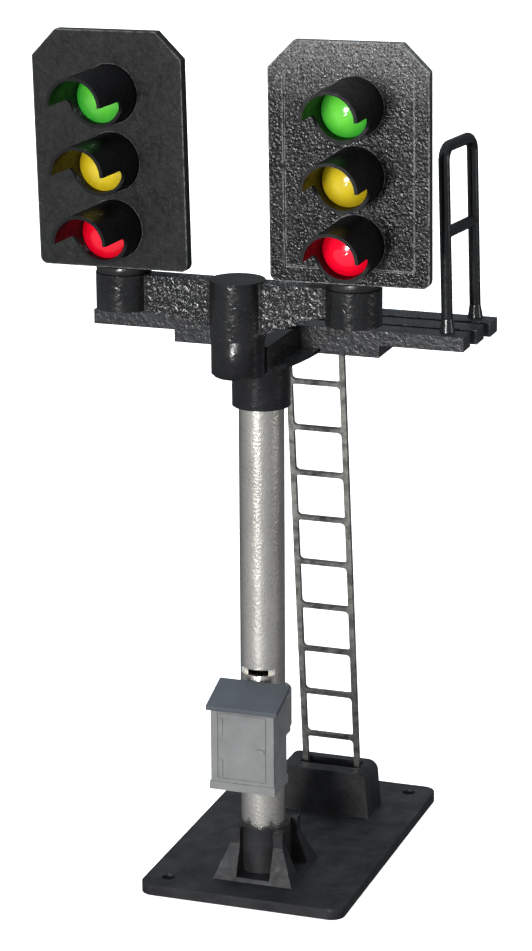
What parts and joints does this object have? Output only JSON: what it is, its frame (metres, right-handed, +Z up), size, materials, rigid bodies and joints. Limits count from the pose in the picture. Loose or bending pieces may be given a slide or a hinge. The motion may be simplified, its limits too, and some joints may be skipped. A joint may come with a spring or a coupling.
{
  "type": "model signal mast",
  "caption": "Model railway colour-light junction signal: paired hooded heads on a tube post with a plank platform, hand rail, ladder and clip-on relay cabinet.",
  "frame": {"origin": "centre of the wire duct on the base underside, on the post axis", "axes": "+Z up along the post; the heads face -Y; +X is the hand-rail side; the ladder stands at +Y"},
  "size_m": [0.0282, 0.0316, 0.0624],
  "materials": {
    "base_plastic": "black moulded plastic, satin, lightly rippled",
    "bracket_plastic": "black moulded plastic, satin with rubbed edges",
    "beam_plastic": "black moulded plastic, coarse spark-eroded texture on the webs",
    "platform_plastic": "black moulded plastic, coarse texture on the plank faces",
    "rail_plastic": "gloss black",
    "head_plastic": "black moulded plastic, coarse glossy texture",
    "cover_plastic": "black moulded plastic, satin",
    "stem_plastic": "black moulded plastic, satin",
    "visor_plastic": "black moulded plastic, satin",
    "mast_aluminium": "satin, drawn along its length",
    "ladder_metal": "weathered nickel silver",
    "cabinet_plastic": "mid grey paint, satin",
    "cabinet_roof_plastic": "dark blue-grey paint, satin",
    "circuit_board": "green solder mask",
    "resistor_body": "black ceramic chip",
    "green_lens": "tinted epoxy, gloss",
    "yellow_lens": "tinted epoxy, gloss",
    "red_lens": "tinted epoxy, gloss"
  },
  "bodies": {
    "mast": {"base_plate": "base_plastic", "mast_tube": "mast_aluminium", "mast_bracket": "bracket_plastic", "head_beam": "beam_plastic", "platform_deck": "platform_plastic", "hand_rail": "rail_plastic", "ladder": "ladder_metal"},
    "relay_cabinet": {"relay_case": "cabinet_plastic", "relay_roof": "cabinet_roof_plastic"},
    "left_head": {"left_backboard": "head_plastic", "left_rear_cover": "cover_plastic", "left_stem": "stem_plastic", "left_led_board": "circuit_board", "left_resistors": "resistor_body", "left_visor_green": "visor_plastic", "left_visor_yellow": "visor_plastic", "left_visor_red": "visor_plastic", "left_led_green": "green_lens", "left_led_yellow": "yellow_lens", "left_led_red": "red_lens"},
    "right_head": {"right_backboard": "head_plastic", "right_rear_cover": "cover_plastic", "right_stem": "stem_plastic", "right_led_board": "circuit_board", "right_resistors": "resistor_body", "right_visor_green": "visor_plastic", "right_visor_yellow": "visor_plastic", "right_visor_red": "visor_plastic", "right_led_green": "green_lens", "right_led_yellow": "yellow_lens", "right_led_red": "red_lens"}
  },
  "joints": [
    {"name": "left_head_swivel", "type": "hinge", "parent": "mast", "child": "left_head", "pos_m": [-0.00795, -0.0054, 0.0457], "axis": [0, 0, 1], "range_deg": [-30, 30]},
    {"name": "right_head_swivel", "type": "hinge", "parent": "mast", "child": "right_head", "pos_m": [0.00845, -0.0054, 0.0457], "axis": [0, 0, 1], "range_deg": [-30, 30]},
    {"name": "relay_cabinet_slide", "type": "slide", "parent": "mast", "child": "relay_cabinet", "axis": [0, 0, 1], "range_m": [-0.0035, 0.0185]}
  ]
}
